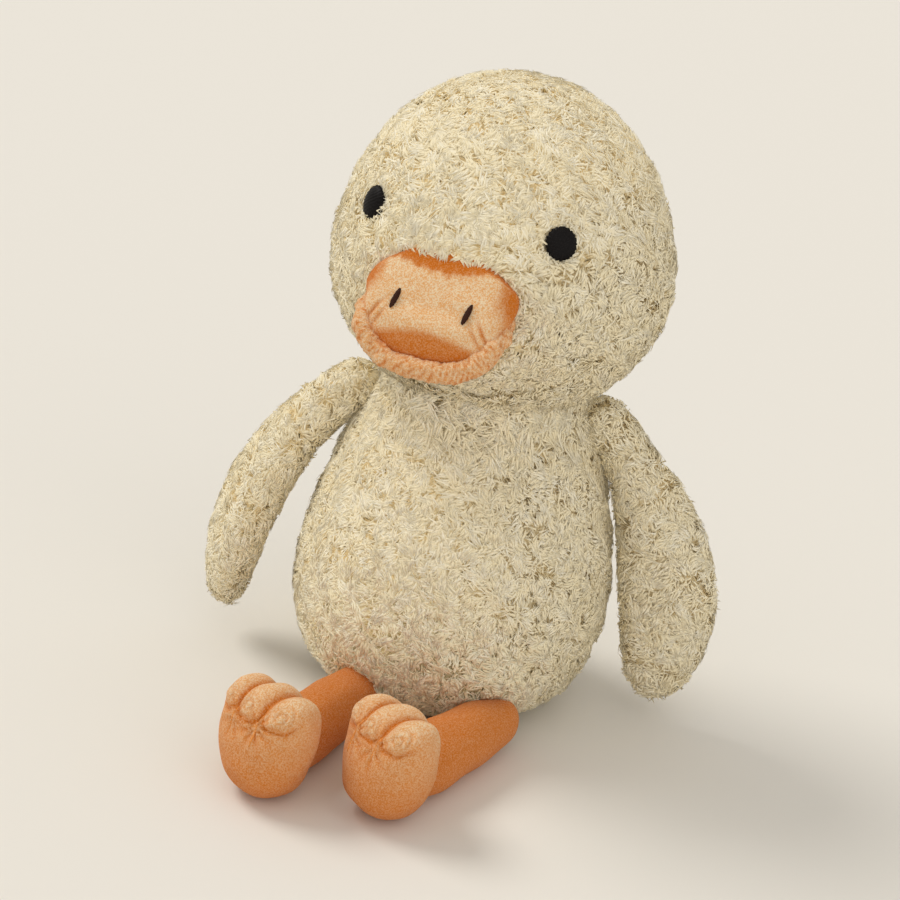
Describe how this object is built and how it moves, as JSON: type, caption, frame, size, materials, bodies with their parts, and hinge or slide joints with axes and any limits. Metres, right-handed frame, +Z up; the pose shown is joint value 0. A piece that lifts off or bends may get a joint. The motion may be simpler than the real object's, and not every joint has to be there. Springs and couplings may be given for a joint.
{
  "type": "plush duck",
  "caption": "Seated plush duck of cream pile fabric with an orange velour bill and feet, a head that nods and turns, and floppy wings and legs.",
  "frame": {"origin": "middle of the flat seat, on the surface the duck sits on", "axes": "+Z up, -Y the way the body faces, +X towards the duck's own left wing"},
  "size_m": [0.2244, 0.2098, 0.2684],
  "materials": {
    "plush": "matte",
    "velour": "matte",
    "fibre": "matte",
    "pellets": "matte",
    "eye_thread": "satin",
    "nostril_thread": "matte",
    "toe_thread": "matte"
  },
  "bodies": {
    "body": {"body_cover": "plush", "body_filling": "fibre", "seat_pouch": "pellets", "tail": "plush"},
    "neck": {"neck_filling": "fibre"},
    "head": {"head_cover": "plush", "head_filling": "fibre", "bill_upper": "velour", "bill_lower": "velour", "bill_filling": "fibre", "eye_left": "eye_thread", "eye_right": "eye_thread", "nostril_left": "nostril_thread", "nostril_right": "nostril_thread"},
    "wing_left_root": {"wing_left_knot": "toe_thread"},
    "wing_left": {"wing_left_cover": "plush", "wing_left_filling": "fibre"},
    "leg_left_root": {"leg_left_knot": "toe_thread"},
    "leg_left": {"leg_left_cover": "velour", "leg_left_filling": "fibre", "foot_left_cover": "velour", "foot_left_filling": "fibre", "foot_left_stitch_1": "toe_thread", "foot_left_stitch_2": "toe_thread"},
    "wing_right_root": {"wing_right_knot": "toe_thread"},
    "wing_right": {"wing_right_cover": "plush", "wing_right_filling": "fibre"},
    "leg_right_root": {"leg_right_knot": "toe_thread"},
    "leg_right": {"leg_right_cover": "velour", "leg_right_filling": "fibre", "foot_right_cover": "velour", "foot_right_filling": "fibre", "foot_right_stitch_1": "toe_thread", "foot_right_stitch_2": "toe_thread"}
  },
  "joints": [
    {"name": "neck_nod", "type": "hinge", "parent": "body", "child": "neck", "pos_m": [0.0045, 0.0025, 0.137], "axis": [1, 0, 0], "range_deg": [-15, 15], "stiffness_Nm_per_rad": 1},
    {"name": "head_turn", "type": "hinge", "parent": "neck", "child": "head", "pos_m": [0.0045, 0.0025, 0.137], "axis": [0, 0, 1], "range_deg": [-30, 60], "stiffness_Nm_per_rad": 0.3},
    {"name": "wing_left_swing", "type": "hinge", "parent": "body", "child": "wing_left_root", "pos_m": [0.05647, 0, 0.1305], "axis": [-1, 0, 0], "range_deg": [-25, 40]},
    {"name": "wing_left_lift", "type": "hinge", "parent": "wing_left_root", "child": "wing_left", "pos_m": [0.05647, 0, 0.1305], "axis": [0, -1, 0], "range_deg": [0, 60]},
    {"name": "wing_right_swing", "type": "hinge", "parent": "body", "child": "wing_right_root", "pos_m": [-0.05047, 0, 0.1305], "axis": [-1, 0, 0], "range_deg": [-25, 40]},
    {"name": "wing_right_lift", "type": "hinge", "parent": "wing_right_root", "child": "wing_right", "pos_m": [-0.05047, 0, 0.1305], "axis": [0, 1, 0], "range_deg": [0, 55]},
    {"name": "leg_left_splay", "type": "hinge", "parent": "body", "child": "leg_left_root", "pos_m": [0.03, -0.061, 0.0138], "axis": [0, 0, 1], "range_deg": [0, 30]},
    {"name": "leg_left_lift", "type": "hinge", "parent": "leg_left_root", "child": "leg_left", "pos_m": [0.03, -0.061, 0.0138], "axis": [-0.866, 0.5, 0], "range_deg": [-60, 15]},
    {"name": "leg_right_splay", "type": "hinge", "parent": "body", "child": "leg_right_root", "pos_m": [-0.03, -0.055, 0.0138], "axis": [0, 0, -1], "range_deg": [0, 25]},
    {"name": "leg_right_lift", "type": "hinge", "parent": "leg_right_root", "child": "leg_right", "pos_m": [-0.03, -0.055, 0.0138], "axis": [-0.9397, 0.342, 0], "range_deg": [-60, 15]}
  ]
}
